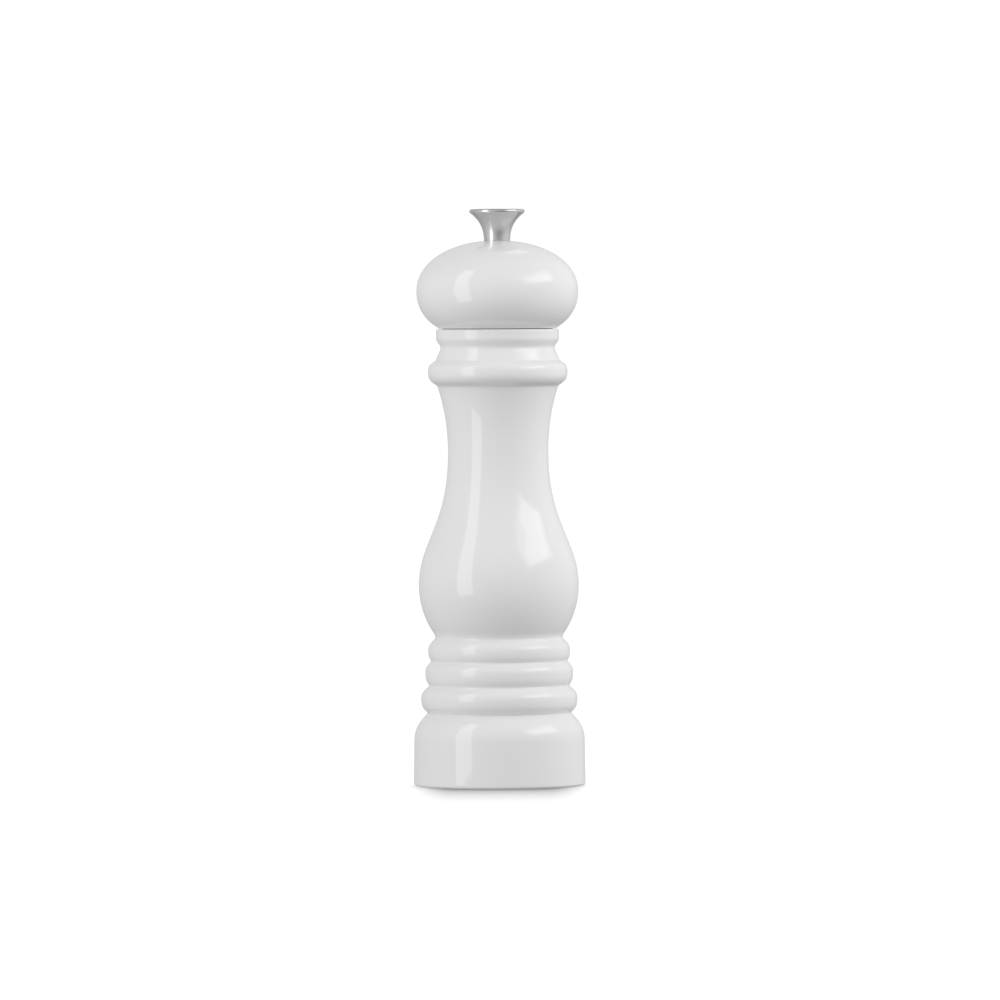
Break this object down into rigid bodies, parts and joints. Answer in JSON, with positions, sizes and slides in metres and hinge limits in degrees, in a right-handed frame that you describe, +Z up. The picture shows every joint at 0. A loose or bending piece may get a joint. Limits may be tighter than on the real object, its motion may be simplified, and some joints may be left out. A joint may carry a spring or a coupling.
{
  "type": "pepper mill",
  "caption": "Turned-profile pepper mill with a domed head, a flared top knob, a square spindle and a conical burr mechanism in its foot.",
  "frame": {"origin": "centre of the underside, on the surface that the mill stands on", "axes": "+Z up along the spindle, from the foot to the knob; +X and +Y lie on the surface, and the bottom bar lies along X"},
  "size_m": [0.0626, 0.0626, 0.21],
  "materials": {
    "gloss_white": "high-gloss lacquered white",
    "milky_plastic": "translucent white moulding",
    "mechanism_black": "fine-textured black moulding",
    "burr_ceramic": "unglazed sintered ceramic",
    "brushed_steel": "satin brushed",
    "plain_steel": "bright zinc-plated",
    "spindle_aluminium": "drawn bar"
  },
  "bodies": {
    "mill_body": {"body_shell": "gloss_white", "hopper_liner": "milky_plastic", "mechanism_housing": "mechanism_black", "female_burr": "burr_ceramic", "burr_retaining_ring": "plain_steel", "bottom_bar": "plain_steel", "bar_screws": "plain_steel", "housing_screws": "plain_steel"},
    "drive": {"spindle_bush": "plain_steel", "spring": "plain_steel"},
    "spindle": {"spindle": "spindle_aluminium", "rotor_hub": "mechanism_black", "male_burr": "burr_ceramic", "rotor_washer": "plain_steel", "retaining_clip": "plain_steel"},
    "cap": {"cap_shell": "gloss_white", "cap_core": "mechanism_black", "cap_screws": "plain_steel", "drive_plate": "plain_steel", "drive_plate_screws": "plain_steel"},
    "knob_washer": {"knob_washer": "milky_plastic"},
    "knob": {"knob": "brushed_steel"}
  },
  "joints": [
    {"name": "head_turn", "type": "hinge", "parent": "mill_body", "child": "drive", "pos_m": [0, 0, 0.045], "axis": [0, 0, 1], "continuous": true},
    {"name": "grind_adjust", "type": "slide", "parent": "drive", "child": "spindle", "axis": [0, 0, 1], "range_m": [-0.0012, 0.0012], "deforming": ["spring"]},
    {"name": "cap_lift", "type": "slide", "parent": "drive", "child": "cap", "axis": [0, 0, 1], "range_m": [0, 0.06]},
    {"name": "knob_lift", "type": "slide", "parent": "cap", "child": "knob_washer", "axis": [0, 0, 1], "range_m": [0, 0.012]},
    {"name": "knob_turn", "type": "hinge", "parent": "knob_washer", "child": "knob", "pos_m": [0, 0, 0.1984], "axis": [0, 0, 1], "range_deg": [-540, 540]}
  ],
  "couplings": [
    {"joint": "knob_turn", "follows": "grind_adjust", "rad_per_m": -7854}
  ]
}
